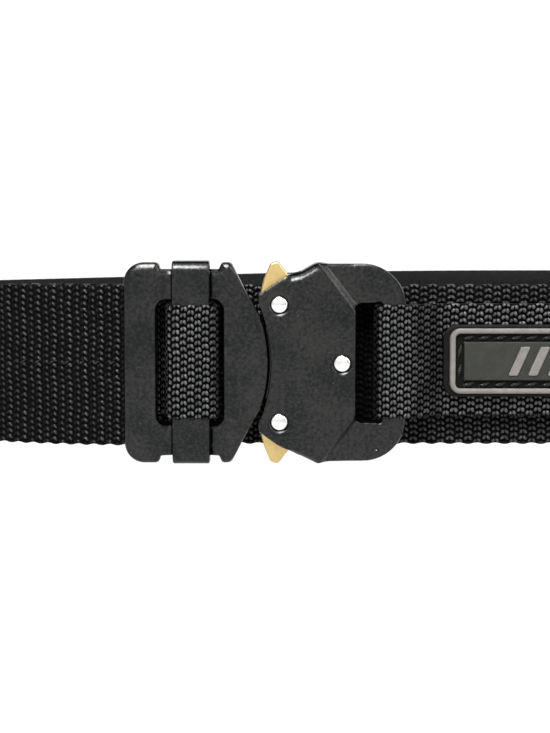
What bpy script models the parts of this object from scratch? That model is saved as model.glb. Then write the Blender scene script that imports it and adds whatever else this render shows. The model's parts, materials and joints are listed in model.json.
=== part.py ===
"""A tactical belt: a wide webbing loop closed by a two-part metal buckle with spring levers.

Sizes are in millimetres, and MM turns them into metres where a mesh is made. Inside this file a
place is given from the buckle: X to the right of the buckle's middle, Y behind the outer face of
the web there (minus is towards the wearer's front), Z above the floor. The empty belt_origin then
brings the middle of the whole belt's base to the world origin.
"""

import math

import bmesh
import bpy
from mathutils import Euler

MM = 0.001
TURN = math.pi / 180.0

# Clearance between pieces, how far a cutter runs past a face, and the distance of welded points
GAP = 0.3
OVERRUN = 1.0
WELD = 0.01

# Wide web, a strip whose outer face follows the plan path below
WEB_WIDTH = 38.0
WEB_THICKNESS = 2.6
WEB_LIFT = 3.7
WEB_END_X = -27.5
LEFT_RADIUS = 100.0
LEFT_TURN = 20.0
BEND_RADIUS = 66.0
BEND_TURN = 126.0
REAR_RUN = 86.0
LOOP_DEPTH = 196.0
RIGHT_CENTRE_X = 142.0
LEVEL_LEFT = 35.0
LEVEL_RIGHT_X = 84.0
SHIFT_START_X = 2.0
TAIL_TURN = 19.0
WEB_END_Y = -WEB_THICKNESS - GAP

# Straps that hold the buckle
STRAP_WIDTH = 26.6
STRAP_THICKNESS = 1.7
STRAP_MID_Z = 24.1
MALE_STRAP_TURN = 14.0
FEMALE_STRAP_END = 112.0

# Buckle, shared planes
BUCKLE_MID_Y = -5.3
BUCKLE_MID_Z = 23.8

# Male frame
MALE_HALF_HEIGHT = 23.45
MALE_BACK = -3.2
MALE_FRONT = -8.4
MALE_RAIL_FRONT = -7.0
NOTCH_FLOOR = 21.85
NOTCH_LEFT = -24.5
NOTCH_RIGHT = -10.8
RAIL_REACH = 30.0
MALE_NOSE_RADIUS = 34.0
MALE_NOSE_X = 1.0
MALE_NOSE_HALF = 9.4
MALE_SLOT_LEFT = -25.3
MALE_SLOT_RIGHT = -9.95
MALE_SLOT_HALF = 14.4
MALE_SLOT_CORNER = 2.0
MALE_EDGE = 0.7
TONGUE_HALF_THICKNESS = 2.0

# Friction bar
BAR_LEFT = -21.7
BAR_RIGHT = -13.0
BAR_THICKNESS = 1.6
BAR_HALF_HEIGHT = 23.8
BAR_RETURN_HALF = 19.0
BAR_FRONT_CORNER = 1.5
BAR_REAR_CORNER = 1.2
BAR_TIP_CORNER = 0.5
BAR_INNER_CORNER = 0.25
BAR_EDGE = 0.35

# Female plates
PLATE_OUTER = 4.6
PLATE_LOWER = 2.3
PLATE_INNER = 2.8
PLATE_SEAM = 0.15
PLATE_EDGE = 0.6
CORNER_STEPS = 6
MOUTH_STEPS = 8
MOUTH_RADIUS = 34.6
MOUTH_X = 1.35
MOUTH_HALF = 14.2
LOOP_END_X = 32.9
LOOP_END_RADIUS = 10.0
LOOP_HALF_HEIGHT = 23.1
FEMALE_SLOT_LEFT = 21.2
FEMALE_SLOT_RIGHT = 27.2
FEMALE_SLOT_HALF = 13.9

# Rivets
PIVOT_X = 3.3
PIVOT_HALF = 13.7
MIDDLE_RIVET_X = 17.9
RIVET_HEAD_RADIUS = 1.82
RIVET_HEAD_DEPTH = 0.9
RIVET_SHAFT_RADIUS = 1.4
RIVET_DOME = 0.12
SINK_RADIUS = 2.12
SINK_DEPTH = 1.2
HOLE_RADIUS = 1.7
ROUND_STEPS = 20

# Levers, with the heights above the buckle's middle between which each hook's face runs
LEVER_HALF_THICKNESS = 2.2
LEVER_EDGE = 0.3
HOOK_RADIUS = 10.4
HOOK_LOW = 6.4
HOOK_HIGH = 9.9

# Patch
PATCH_LEFT = 41.8
PATCH_LENGTH = 62.0
PATCH_HALF_HEIGHT = 8.5
PATCH_CORNER = 3.4
PATCH_BASE_THICKNESS = 1.2
PATCH_EDGE = 0.3
BORDER_MARGIN_END = 1.5
BORDER_MARGIN_SIDE = 0.7
BORDER_WIDTH = 1.3
BORDER_CORNER = 2.5
BORDER_THICKNESS = 1.1
BORDER_EDGE = 0.25
FIELD_MARGIN_END = 4.8
FIELD_HALF_HEIGHT = 4.5
FIELD_CORNER = 0.3
FIELD_THICKNESS = 0.9

# Plan outlines of the straps' loops, a row for each corner: X, Y, corner radius
MALE_LOOP_OUTER = (
    (-24.0, 0.0, 1.2),
    (-24.0, -10.4, 3.2),
    (-17.35, -11.2, 20.0),
    (-10.7, -10.4, 3.2),
    (-10.7, -0.5, 2.4),
)
MALE_LOOP_INNER = (
    (-22.3, -9.2, 1.3),
    (-12.4, -9.2, 1.3),
    (-12.4, -1.9, 1.5),
    (-22.3, 0.4, 0.4),
)
FEMALE_LOOP_REAR = (
    (37.0, -0.3, 10.0),
    (31.0, -1.0, 10.0),
    (25.2, -1.0, 3.4),
)
FEMALE_LOOP_FRONT = (
    (25.2, -9.7, 4.2),
    (34.0, -9.7, 4.0),
    (41.6, -3.7, 5.0),
)
FEMALE_LOOP_INNER = (
    (26.9, -2.7, 1.0),
    (33.4, -2.7, 3.0),
    (40.0, -2.0, 0.0),
    (40.3, -2.55, 0.0),
    (33.4, -8.0, 1.2),
    (26.9, -8.0, 1.0),
)

# Upper halves of the buckle's outlines, a row for each corner: X, height above middle, corner radius.
# The plates' lower half differs, and its heights are below the middle.
MALE_FRAME_UPPER = (
    (-32.9, MALE_HALF_HEIGHT, 4.6),
    (-24.9, MALE_HALF_HEIGHT, 1.1),
    (NOTCH_LEFT, NOTCH_FLOOR, 0.5),
    (NOTCH_RIGHT, NOTCH_FLOOR, 0.5),
    (-10.1, MALE_HALF_HEIGHT, 0.9),
    (-7.9, MALE_HALF_HEIGHT, 1.0),
    (-4.7, 17.0, 12.0),
)
TONGUE_UPPER = (
    (-4.0, 8.6, 0.0),
    (7.6, 8.6, 0.8),
    (7.9, 5.9, 0.8),
    (10.75, 5.9, 0.3),
    (12.2, 7.6, 0.4),
    (13.2, 7.6, 0.6),
    (14.6, 5.6, 1.0),
)
PLATE_UPPER = (
    (-1.5, 16.0, 0.8),
    (2.9, 19.1, 4.0),
    (5.6, 20.7, 3.0),
    (8.0, 21.2, 3.0),
    (12.0, 23.5, 3.0),
    (15.0, LOOP_HALF_HEIGHT, 3.0),
)
PLATE_LOWER_HALF = (
    (-1.5, 16.0, 0.8),
    (2.9, 19.1, 4.0),
    (12.0, 23.5, 3.0),
    (15.0, LOOP_HALF_HEIGHT, 3.0),
)
FEMALE_SLOT_UPPER = (
    (FEMALE_SLOT_LEFT, FEMALE_SLOT_HALF, 1.6),
    (FEMALE_SLOT_RIGHT, FEMALE_SLOT_HALF, 0.5),
)
POCKET_UPPER = (
    (-8.0, 32.0, 0.0),
    (7.2, 32.0, 0.0),
    (8.6, 19.0, 1.5),
    (15.2, 13.5, 1.5),
)
LEVER_OUTER = (
    (-1.6, 14.2, 0.5),
    (-0.35, 19.4, 6.0),
    (1.25, 23.25, 0.8),
    (2.95, 23.75, 0.8),
    (5.2, 20.9, 1.5),
    (7.4, 15.6, 2.0),
    (9.6, 11.9, 1.0),
)
LEVER_INNER = (
    (8.4, HOOK_LOW, 0.3),
    (8.3, 9.2, 0.6),
    (0.4, 10.2, 1.5),
)

# The slope below the female's raised face, upper half: X of crest, its height, X of toe, its height
STEP_UPPER = (
    (45.0, 26.0, 45.0, 26.0),
    (10.1, 26.0, 12.3, 26.0),
    (20.9, 11.8, 21.7, 13.9),
)

# Colour (linear), roughness and metallic value of each material
FINISHES = {
    "webbing": ((0.016, 0.016, 0.018), 0.85, 0.0),
    "strap_webbing": ((0.020, 0.020, 0.022), 0.8, 0.0),
    "black_metal": ((0.032, 0.032, 0.034), 0.36, 0.85),
    "brass": ((0.62, 0.44, 0.18), 0.32, 1.0),
    "polished_steel": ((0.72, 0.72, 0.70), 0.12, 1.0),
    "dark_rubber": ((0.012, 0.012, 0.011), 0.6, 0.0),
    "olive_rubber": ((0.060, 0.064, 0.054), 0.62, 0.0),
    "light_rubber": ((0.38, 0.34, 0.30), 0.6, 0.0),
}


def clear_scene():
    for thing in list(bpy.data.objects):
        bpy.data.objects.remove(thing, do_unlink=True)


def collection(name):
    group = bpy.data.collections.new(name)
    bpy.context.scene.collection.children.link(group)
    return group


def material(name):
    colour, roughness, metallic = FINISHES[name]
    made = bpy.data.materials.get(name) or bpy.data.materials.new(name)
    made.use_nodes = True
    shader = made.node_tree.nodes["Principled BSDF"]
    shader.inputs["Base Color"].default_value = (*colour, 1.0)
    shader.inputs["Roughness"].default_value = roughness
    shader.inputs["Metallic"].default_value = metallic
    made.diffuse_color = (*colour, 1.0)
    return made


# Outlines: lists of corners (across, up, corner radius) turned into rounded polygons

def rounded(corners, step=18.0):
    """The closed outline through the corners, each rounded by its own radius."""
    outline = []
    count = len(corners)
    for index, (x, y, radius) in enumerate(corners):
        if radius <= 0.0:
            outline.append((x, y))
            continue
        before = corners[index - 1]
        after = corners[(index + 1) % count]
        ax, ay = before[0] - x, before[1] - y
        bx, by = after[0] - x, after[1] - y
        a_length, b_length = math.hypot(ax, ay), math.hypot(bx, by)
        ax, ay, bx, by = ax / a_length, ay / a_length, bx / b_length, by / b_length
        half = math.acos(max(-1.0, min(1.0, ax * bx + ay * by))) / 2
        reach = radius / math.tan(half)
        mx, my = ax + bx, ay + by
        m_length = math.hypot(mx, my)
        centre_x = x + mx / m_length * radius / math.sin(half)
        centre_y = y + my / m_length * radius / math.sin(half)
        start = math.atan2(y + ay * reach - centre_y, x + ax * reach - centre_x)
        end = math.atan2(y + by * reach - centre_y, x + bx * reach - centre_x)
        sweep = (end - start + math.pi) % (2 * math.pi) - math.pi
        steps = max(1, math.ceil(abs(sweep) / (step * TURN)))
        for number in range(steps + 1):
            angle = start + sweep * number / steps
            outline.append((centre_x + radius * math.cos(angle), centre_y + radius * math.sin(angle)))
    return outline


def arc(centre_x, centre_y, radius, start, end, steps):
    """Corners with no rounding along an arc, angles in degrees."""
    corners = []
    for number in range(steps + 1):
        angle = (start + (end - start) * number / steps) * TURN
        corners.append((centre_x + radius * math.cos(angle), centre_y + radius * math.sin(angle), 0.0))
    return corners


def both_halves(upper):
    """The corners of the upper half, then their mirror images in reverse order."""
    return list(upper) + [(x, -y, radius) for x, y, radius in reversed(upper)]


def rectangle(left, right, half_height, radius):
    return [(left, half_height, radius), (right, half_height, radius),
            (right, -half_height, radius), (left, -half_height, radius)]


# Solids

class Belt:
    """The two collections, the empty that carries every piece, and the ways of making a piece."""

    def __init__(self):
        self.parts = collection("tactical_belt")
        self.cutters = collection("cutters")
        self.origin = bpy.data.objects.new("belt_origin", None)
        self.parts.objects.link(self.origin)

    def place(self, name, mesh, finish=None, location=(0, 0, 0), rotation=(0, 0, 0)):
        piece = bpy.data.objects.new(name, mesh)
        (self.parts if finish else self.cutters).objects.link(piece)
        piece.parent = self.origin
        piece.location = [value * MM for value in location]
        piece.rotation_euler = Euler([value * TURN for value in rotation])
        if finish:
            mesh.materials.append(material(finish))
        else:
            piece.hide_render = True
            piece.display_type = "WIRE"
        return piece

    def flat(self, name, loops, thickness, finish=None, location=(0, 0, 0), rotation=(0, 0, 0)):
        """A flat outline with holes, half of its thickness on each side of its own XY plane."""
        curve = bpy.data.curves.new(name, "CURVE")
        curve.dimensions = "2D"
        curve.fill_mode = "BOTH"
        curve.extrude = thickness * MM / 2
        for loop in loops:
            spline = curve.splines.new("POLY")
            spline.points.add(len(loop) - 1)
            for point, (x, y) in zip(spline.points, loop):
                point.co = (x * MM, y * MM, 0.0, 1.0)
            spline.use_cyclic_u = True
        drawn = bpy.data.objects.new(name + "_outline", curve)
        self.cutters.objects.link(drawn)
        graph = bpy.context.evaluated_depsgraph_get()
        mesh = bpy.data.meshes.new_from_object(drawn.evaluated_get(graph))
        bpy.data.objects.remove(drawn, do_unlink=True)
        mesh.materials.clear()
        shell = bmesh.new()
        shell.from_mesh(mesh)
        bmesh.ops.remove_doubles(shell, verts=shell.verts, dist=WELD * MM)
        bmesh.ops.dissolve_limit(shell, angle_limit=0.5 * TURN, verts=shell.verts, edges=shell.edges)
        bmesh.ops.recalc_face_normals(shell, faces=shell.faces)
        shell.to_mesh(mesh)
        shell.free()
        return self.place(name, mesh, finish, location, rotation)

    def upright(self, name, loops, back, front, finish=None):
        """A flat outline that faces the viewer, between two depths, about the buckle's mid height."""
        middle = (0, (back + front) / 2, BUCKLE_MID_Z)
        return self.flat(name, loops, back - front, finish, middle, (90, 0, 0))

    def turned(self, name, profile, finish=None, location=(0, 0, 0)):
        """A profile of (radius, depth) turned about an axis along Y, front end first."""
        mesh = bpy.data.meshes.new(name)
        shell = bmesh.new()
        corners = [shell.verts.new((radius * MM, 0.0, depth * MM)) for radius, depth in profile]
        for first, second in zip(corners, corners[1:]):
            shell.edges.new((first, second))
        shell.to_mesh(mesh)
        shell.free()
        piece = self.place(name, mesh, finish, location, (90, 0, 0))
        screw = piece.modifiers.new("Turn", "SCREW")
        screw.steps = ROUND_STEPS
        screw.render_steps = ROUND_STEPS
        screw.use_merge_vertices = True
        screw.merge_threshold = WELD * MM
        screw.use_smooth_shade = True
        return piece


def cut(piece, cutter, operation="DIFFERENCE"):
    boolean = piece.modifiers.new(cutter.name, "BOOLEAN")
    boolean.operation = operation
    boolean.object = cutter
    boolean.solver = "EXACT"


def round_edges(piece, width, segments=2, limit=35.0):
    bevel = piece.modifiers.new("Rounded edges", "BEVEL")
    bevel.width = width * MM
    bevel.segments = segments
    bevel.limit_method = "ANGLE"
    bevel.angle_limit = limit * TURN


# The wide web

def plan_path(x, y, heading, segments):
    """Stations (x, y, distance) along lines and right-hand arcs: (length, turn, steps) for each."""
    stations = [(x, y, 0.0)]
    distance = 0.0
    for length, turn, steps in segments:
        for _ in range(steps):
            piece = length / steps
            bend = turn / steps * TURN
            chord = piece if bend == 0.0 else piece * math.sin(bend / 2) / (bend / 2)
            x += chord * math.cos(heading - bend / 2)
            y += chord * math.sin(heading - bend / 2)
            heading -= bend
            distance += piece
            stations.append((x, y, distance))
    return stations


def web_segments():
    """The web from its end under the male frame, round the waist and back to its hidden tail."""
    turned = LEFT_TURN + BEND_TURN
    rear_turn = 180.0 - turned
    bend_x = WEB_END_X - (LEFT_RADIUS - BEND_RADIUS) * math.sin(LEFT_TURN * TURN)
    rear_x = bend_x - BEND_RADIUS * math.sin(turned * TURN) + REAR_RUN * math.cos(rear_turn * TURN)
    bend_y = WEB_END_Y + LEFT_RADIUS - (LEFT_RADIUS - BEND_RADIUS) * math.cos(LEFT_TURN * TURN)
    rear_y = bend_y - BEND_RADIUS * math.cos(turned * TURN) + REAR_RUN * math.sin(rear_turn * TURN)
    rear_radius = (LOOP_DEPTH - rear_y) / (1 - math.cos(rear_turn * TURN))
    rear_end_x = rear_x + rear_radius * math.sin(rear_turn * TURN)
    right_radius = LOOP_DEPTH / 2
    tail_radius = LEFT_RADIUS - WEB_THICKNESS - 2 * STRAP_THICKNESS - 2 * GAP
    shift = WEB_END_Y + LEFT_RADIUS - tail_radius
    run = SHIFT_START_X - WEB_END_X
    shift_radius = (run ** 2 + shift ** 2) / (4 * shift)
    shift_turn = 2 * math.atan2(shift, run) / TURN
    return [
        (LEFT_RADIUS * LEFT_TURN * TURN, LEFT_TURN, 5),
        (BEND_RADIUS * BEND_TURN * TURN, BEND_TURN, 21),
        (REAR_RUN, 0.0, 1),
        (rear_radius * rear_turn * TURN, rear_turn, 12),
        (RIGHT_CENTRE_X - rear_end_x, 0.0, 1),
        (right_radius * math.pi, 180.0, 30),
        (RIGHT_CENTRE_X - LEVEL_RIGHT_X, 0.0, 5),
        (LEVEL_RIGHT_X - SHIFT_START_X, 0.0, 1),
        (shift_radius * shift_turn * TURN, shift_turn, 3),
        (shift_radius * shift_turn * TURN, -shift_turn, 3),
        (tail_radius * TAIL_TURN * TURN, TAIL_TURN, 5),
    ]


def smooth_step(value):
    value = max(0.0, min(1.0, value))
    return value * value * (3 - 2 * value)


def web_bottom(distance, segments):
    """Height of the web's lower edge: level at the front, lying on the floor round the back."""
    left_end = segments[0][0] + segments[1][0]
    right_middle = sum(length for length, _, _ in segments[:5]) + segments[5][0] / 2
    level_right = sum(length for length, _, _ in segments[:7])
    if distance < right_middle:
        return WEB_LIFT * (1 - smooth_step((distance - LEVEL_LEFT) / (left_end - LEVEL_LEFT)))
    return WEB_LIFT * smooth_step((distance - right_middle) / (level_right - right_middle))


def build_web(belt):
    segments = web_segments()
    stations = plan_path(WEB_END_X, WEB_END_Y, math.pi, segments)
    mesh = bpy.data.meshes.new("belt_web")
    ribbon = bmesh.new()
    lower = []
    for x, y, distance in stations:
        lower.append(ribbon.verts.new((x * MM, y * MM, web_bottom(distance, segments) * MM)))
    edges = [ribbon.edges.new((first, second)) for first, second in zip(lower, lower[1:])]
    raised = bmesh.ops.extrude_edge_only(ribbon, edges=edges)
    upper = [item for item in raised["geom"] if isinstance(item, bmesh.types.BMVert)]
    bmesh.ops.translate(ribbon, verts=upper, vec=(0, 0, WEB_WIDTH * MM))
    ribbon.to_mesh(mesh)
    ribbon.free()
    web = belt.place("belt_web", mesh, "webbing")
    shell = web.modifiers.new("Web thickness", "SOLIDIFY")
    shell.thickness = WEB_THICKNESS * MM
    shell.offset = -1.0
    shell.use_even_offset = True
    return stations


# Straps: plan outlines extruded upwards

def build_male_strap(belt):
    """Round the friction bar, then both layers to the left between the web's end and its tail.

    It returns the depth of the strap's crown, the foremost point of the belt.
    """
    centre_y = WEB_END_Y + LEFT_RADIUS
    near = LEFT_RADIUS - WEB_THICKNESS - GAP
    far = near - 2 * STRAP_THICKNESS
    end = 270.0 - MALE_STRAP_TURN
    outer = rounded(arc(WEB_END_X, centre_y, near, end, 270.0, 4) + list(MALE_LOOP_OUTER)
                    + arc(WEB_END_X, centre_y, far, 270.0, end, 4))
    belt.flat("male_strap", [outer, rounded(MALE_LOOP_INNER)], STRAP_WIDTH, "strap_webbing",
              (0, 0, STRAP_MID_Z))
    return min(y for _, y in outer)


def build_female_strap(belt):
    """Round the female's bar, then both layers to the right on the web and under the patch."""
    outer = [(FEMALE_STRAP_END, -GAP, 0.0), *FEMALE_LOOP_REAR, *FEMALE_LOOP_FRONT,
             (FEMALE_STRAP_END, -GAP - 2 * STRAP_THICKNESS, 0.0)]
    belt.flat("female_strap", [rounded(outer), rounded(FEMALE_LOOP_INNER)], STRAP_WIDTH, "strap_webbing",
              (0, 0, STRAP_MID_Z))


# The male half of the buckle

def build_male_frame(belt):
    nose_angle = math.asin(MALE_NOSE_HALF / MALE_NOSE_RADIUS) / TURN
    nose = arc(MALE_NOSE_X - MALE_NOSE_RADIUS, 0, MALE_NOSE_RADIUS, nose_angle, -nose_angle, 8)
    lower = [(x, -z, radius) for x, z, radius in reversed(MALE_FRAME_UPPER)]
    outline = rounded(list(MALE_FRAME_UPPER) + nose + lower)
    slot = rounded(rectangle(MALE_SLOT_LEFT, MALE_SLOT_RIGHT, MALE_SLOT_HALF, MALE_SLOT_CORNER))
    frame = belt.upright("male_frame", [outline, slot], MALE_BACK, MALE_FRONT, "black_metal")
    round_edges(frame, MALE_EDGE)
    rails = rounded(rectangle(NOTCH_LEFT, NOTCH_RIGHT, RAIL_REACH, 0.0))
    cut(frame, belt.upright("rail_cutter", [rails], MALE_RAIL_FRONT, MALE_FRONT - OVERRUN))
    tongue = rounded(both_halves(TONGUE_UPPER))
    cut(frame, belt.upright("tongue", [tongue], BUCKLE_MID_Y + TONGUE_HALF_THICKNESS,
                            BUCKLE_MID_Y - TONGUE_HALF_THICKNESS), "UNION")


def build_friction_bar(belt):
    """A clip whose ends wrap round the notched rails, seen in section from the side."""
    front = MALE_RAIL_FRONT - GAP
    back = MALE_BACK + GAP
    inner = NOTCH_FLOOR + GAP
    upper = [
        (front - BAR_THICKNESS, BAR_HALF_HEIGHT, BAR_FRONT_CORNER),
        (back + BAR_THICKNESS, BAR_HALF_HEIGHT, BAR_REAR_CORNER),
        (back + BAR_THICKNESS, BAR_RETURN_HALF, BAR_TIP_CORNER),
        (back, BAR_RETURN_HALF, BAR_TIP_CORNER),
        (back, inner, BAR_INNER_CORNER),
        (front, inner, BAR_INNER_CORNER),
    ]
    middle = (BAR_LEFT + BAR_RIGHT) / 2
    bar = belt.flat("friction_bar", [rounded(both_halves(upper))], BAR_RIGHT - BAR_LEFT, "black_metal",
                    (middle, 0, BUCKLE_MID_Z), (90, 0, 90))
    round_edges(bar, BAR_EDGE, limit=60.0)


# The female half of the buckle

def plate_outline():
    mouth = math.asin(MOUTH_HALF / MOUTH_RADIUS) / TURN
    loop_end = arc(LOOP_END_X - LOOP_END_RADIUS, LOOP_HALF_HEIGHT - LOOP_END_RADIUS, LOOP_END_RADIUS,
                   90, 0, CORNER_STEPS)
    lower = [(x, -z, radius) for x, z, radius in reversed(list(PLATE_LOWER_HALF) + loop_end)]
    front = arc(MOUTH_X - MOUTH_RADIUS, 0, MOUTH_RADIUS, -mouth, mouth, MOUTH_STEPS)
    return rounded(list(PLATE_UPPER) + loop_end + lower + front)


def step_cutter(belt, name, side):
    """Takes the loop end down to its lower level, with a slope along the raised face's edge."""
    rise = (PLATE_OUTER + OVERRUN - PLATE_LOWER) / (PLATE_OUTER - PLATE_LOWER)
    rows = list(STEP_UPPER)
    rows += [(crest_x, -crest_z, toe_x, -toe_z) for crest_x, crest_z, toe_x, toe_z in reversed(STEP_UPPER)]
    mesh = bpy.data.meshes.new(name)
    block = bmesh.new()
    low, high = [], []
    for crest_x, crest_z, toe_x, toe_z in rows:
        top_x, top_z = toe_x + (crest_x - toe_x) * rise, toe_z + (crest_z - toe_z) * rise
        low.append(block.verts.new((toe_x * MM, side * PLATE_LOWER * MM, toe_z * MM)))
        high.append(block.verts.new((top_x * MM, side * (PLATE_OUTER + OVERRUN) * MM, top_z * MM)))
    block.faces.new(low)
    block.faces.new(high)
    for index in range(len(low)):
        after = (index + 1) % len(low)
        block.faces.new((low[index], low[after], high[after], high[index]))
    bmesh.ops.recalc_face_normals(block, faces=block.faces)
    block.to_mesh(mesh)
    block.free()
    return belt.place(name, mesh, None, (0, BUCKLE_MID_Y, BUCKLE_MID_Z))


def build_female_plate(belt, name, side):
    """One of the two plates: side is -1 for the front plate and +1 for the rear one."""
    def slab(slab_name, outline, inner, outer, finish=None):
        depths = (BUCKLE_MID_Y + side * inner, BUCKLE_MID_Y + side * outer)
        return belt.upright(slab_name, [outline], max(depths), min(depths), finish)

    plate = slab(name, plate_outline(), PLATE_SEAM, PLATE_OUTER, "black_metal")
    cut(plate, step_cutter(belt, name + "_step", side))
    slot = rounded(both_halves(FEMALE_SLOT_UPPER))
    cut(plate, slab(name + "_slot", slot, -OVERRUN, PLATE_OUTER + OVERRUN))
    round_edges(plate, PLATE_EDGE)
    cut(plate, slab(name + "_pocket", rounded(both_halves(POCKET_UPPER)), -OVERRUN, PLATE_INNER))
    top, ledge = PLATE_OUTER + OVERRUN, PLATE_OUTER - SINK_DEPTH
    sink = [(0.0, top), (SINK_RADIUS, top), (SINK_RADIUS, ledge), (HOLE_RADIUS, ledge),
            (HOLE_RADIUS, -OVERRUN), (0.0, -OVERRUN)]
    profile = [(radius, -side * offset) for radius, offset in sink]
    for number, (x, z) in enumerate(rivet_places(), 1):
        cut(plate, belt.turned(f"{name}_sink_{number}", profile[::-side], None,
                               (x, BUCKLE_MID_Y, BUCKLE_MID_Z + z)))


def rivet_places():
    return [(PIVOT_X, PIVOT_HALF), (MIDDLE_RIVET_X, 0.0), (PIVOT_X, -PIVOT_HALF)]


def build_rivets(belt):
    """Three spool-shaped rivets with slightly domed heads, flush with the two plates."""
    top = PLATE_OUTER
    neck = PLATE_OUTER - RIVET_HEAD_DEPTH
    half = [
        (0.0, top + RIVET_DOME),
        (0.6 * RIVET_HEAD_RADIUS, top + 0.6 * RIVET_DOME),
        (RIVET_HEAD_RADIUS - 1.25 * RIVET_DOME, top - 0.4 * RIVET_DOME),
        (RIVET_HEAD_RADIUS, top - 1.7 * RIVET_DOME),
        (RIVET_HEAD_RADIUS, neck),
        (RIVET_SHAFT_RADIUS, neck),
    ]
    profile = half + [(radius, -depth) for radius, depth in reversed(half)]
    names = ("rivet_upper", "rivet_middle", "rivet_lower")
    for name, (x, z) in zip(names, rivet_places()):
        belt.turned(name, profile, "polished_steel", (x, BUCKLE_MID_Y, BUCKLE_MID_Z + z))


def build_lever(belt, name, side):
    """A brass release lever on its rivet; side is +1 for the upper lever and -1 for the lower."""
    hook_low = math.asin((PIVOT_HALF - HOOK_LOW) / HOOK_RADIUS) / TURN
    hook_high = math.asin((PIVOT_HALF - HOOK_HIGH) / HOOK_RADIUS) / TURN
    hook = arc(PIVOT_X, PIVOT_HALF, HOOK_RADIUS, -hook_high, -hook_low, 3)
    outline = rounded(list(LEVER_OUTER) + hook + list(LEVER_INNER))
    hole = rounded(arc(PIVOT_X, PIVOT_HALF, HOLE_RADIUS, 0, 360, ROUND_STEPS)[:-1])
    loops = [[(x - PIVOT_X, side * (z - PIVOT_HALF)) for x, z in loop] for loop in (outline, hole)]
    lever = belt.flat(name, loops, 2 * LEVER_HALF_THICKNESS, "brass",
                      (PIVOT_X, BUCKLE_MID_Y, BUCKLE_MID_Z + side * PIVOT_HALF), (90, 0, 0))
    round_edges(lever, LEVER_EDGE, limit=50.0)


# The patch on the strap

def build_patch(belt):
    """A base plate on the strap, and on it a raised border with a raised field inside."""
    half = PATCH_LENGTH / 2
    back = -2 * GAP - 2 * STRAP_THICKNESS
    face = back - PATCH_BASE_THICKNESS - GAP

    def plate(name, loops, rear, thickness, finish):
        return belt.flat(name, loops, thickness, finish,
                         (PATCH_LEFT + half, rear - thickness / 2, STRAP_MID_Z), (90, 0, 0))

    base = rounded(rectangle(-half, half, PATCH_HALF_HEIGHT, PATCH_CORNER))
    base = plate("patch_base", [base], back, PATCH_BASE_THICKNESS, "dark_rubber")
    round_edges(base, PATCH_EDGE, limit=60.0)
    outer_x, outer_z = half - BORDER_MARGIN_END, PATCH_HALF_HEIGHT - BORDER_MARGIN_SIDE
    inner_x, inner_z = outer_x - BORDER_WIDTH, outer_z - BORDER_WIDTH
    ring = [rounded(rectangle(-outer_x, outer_x, outer_z, BORDER_CORNER)),
            rounded(rectangle(-inner_x, inner_x, inner_z, BORDER_CORNER - BORDER_WIDTH))]
    border = plate("patch_border", ring, face, BORDER_THICKNESS, "light_rubber")
    round_edges(border, BORDER_EDGE, limit=60.0)
    field_x = half - FIELD_MARGIN_END
    field = rounded(rectangle(-field_x, field_x, FIELD_HALF_HEIGHT, FIELD_CORNER))
    plate("patch_field", [field], face, FIELD_THICKNESS, "olive_rubber")


def centre_origin(belt, stations, front):
    """Puts the world origin under the middle of the belt's box."""
    left = min(x for x, _, _ in stations)
    right = max(x for x, _, _ in stations)
    rear = max(y for _, y, _ in stations)
    belt.origin.location = (-(left + right) / 2 * MM, -(front + rear) / 2 * MM, 0.0)


def build():
    clear_scene()
    belt = Belt()
    stations = build_web(belt)
    front = build_male_strap(belt)
    build_female_strap(belt)
    build_male_frame(belt)
    build_friction_bar(belt)
    build_female_plate(belt, "female_front_plate", -1)
    build_female_plate(belt, "female_rear_plate", 1)
    build_rivets(belt)
    build_lever(belt, "release_lever_upper", 1)
    build_lever(belt, "release_lever_lower", -1)
    build_patch(belt)
    centre_origin(belt, stations, front)


build()
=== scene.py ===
"""The look of the tactical belt: woven webbing, worn black metal, brass levers and a rubber patch.

Lengths are in millimetres, measured from the buckle: X to the right of the buckle's middle, Y behind
the outer face of the web there, Z above the floor. world() turns such places into the frame's metres.
"""

import json
import math

import bmesh
import bpy
import numpy as np
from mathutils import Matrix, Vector
from mathutils.geometry import delaunay_2d_cdt

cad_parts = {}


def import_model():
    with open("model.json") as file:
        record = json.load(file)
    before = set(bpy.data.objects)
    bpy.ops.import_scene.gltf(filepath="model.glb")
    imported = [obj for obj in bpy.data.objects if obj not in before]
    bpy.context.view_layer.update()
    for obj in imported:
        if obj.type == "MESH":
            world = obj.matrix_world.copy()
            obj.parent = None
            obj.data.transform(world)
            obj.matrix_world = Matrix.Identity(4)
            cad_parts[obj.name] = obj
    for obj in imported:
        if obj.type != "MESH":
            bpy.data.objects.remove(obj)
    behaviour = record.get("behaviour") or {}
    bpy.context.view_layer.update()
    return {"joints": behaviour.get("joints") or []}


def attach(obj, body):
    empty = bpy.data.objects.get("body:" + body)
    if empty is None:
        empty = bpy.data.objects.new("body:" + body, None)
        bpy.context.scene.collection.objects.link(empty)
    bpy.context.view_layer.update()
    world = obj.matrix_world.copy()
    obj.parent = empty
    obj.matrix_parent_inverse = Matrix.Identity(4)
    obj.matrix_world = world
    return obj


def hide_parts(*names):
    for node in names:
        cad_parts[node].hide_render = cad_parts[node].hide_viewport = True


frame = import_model()

MM = 0.001
TURN = math.pi / 180.0

# The upper lever's pivot, which the frame gives in metres, places everything else
PIVOT_X, PIVOT_HALF = 3.3, 13.7
BUCKLE_MID_Y, BUCKLE_MID_Z = -5.3, 23.8
PIVOT = Vector(next(joint for joint in frame["joints"] if joint["name"] == "lever_upper_pivot")["pos_m"])
ORIGIN = PIVOT / MM - Vector((PIVOT_X, BUCKLE_MID_Y, BUCKLE_MID_Z + PIVOT_HALF))

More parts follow.
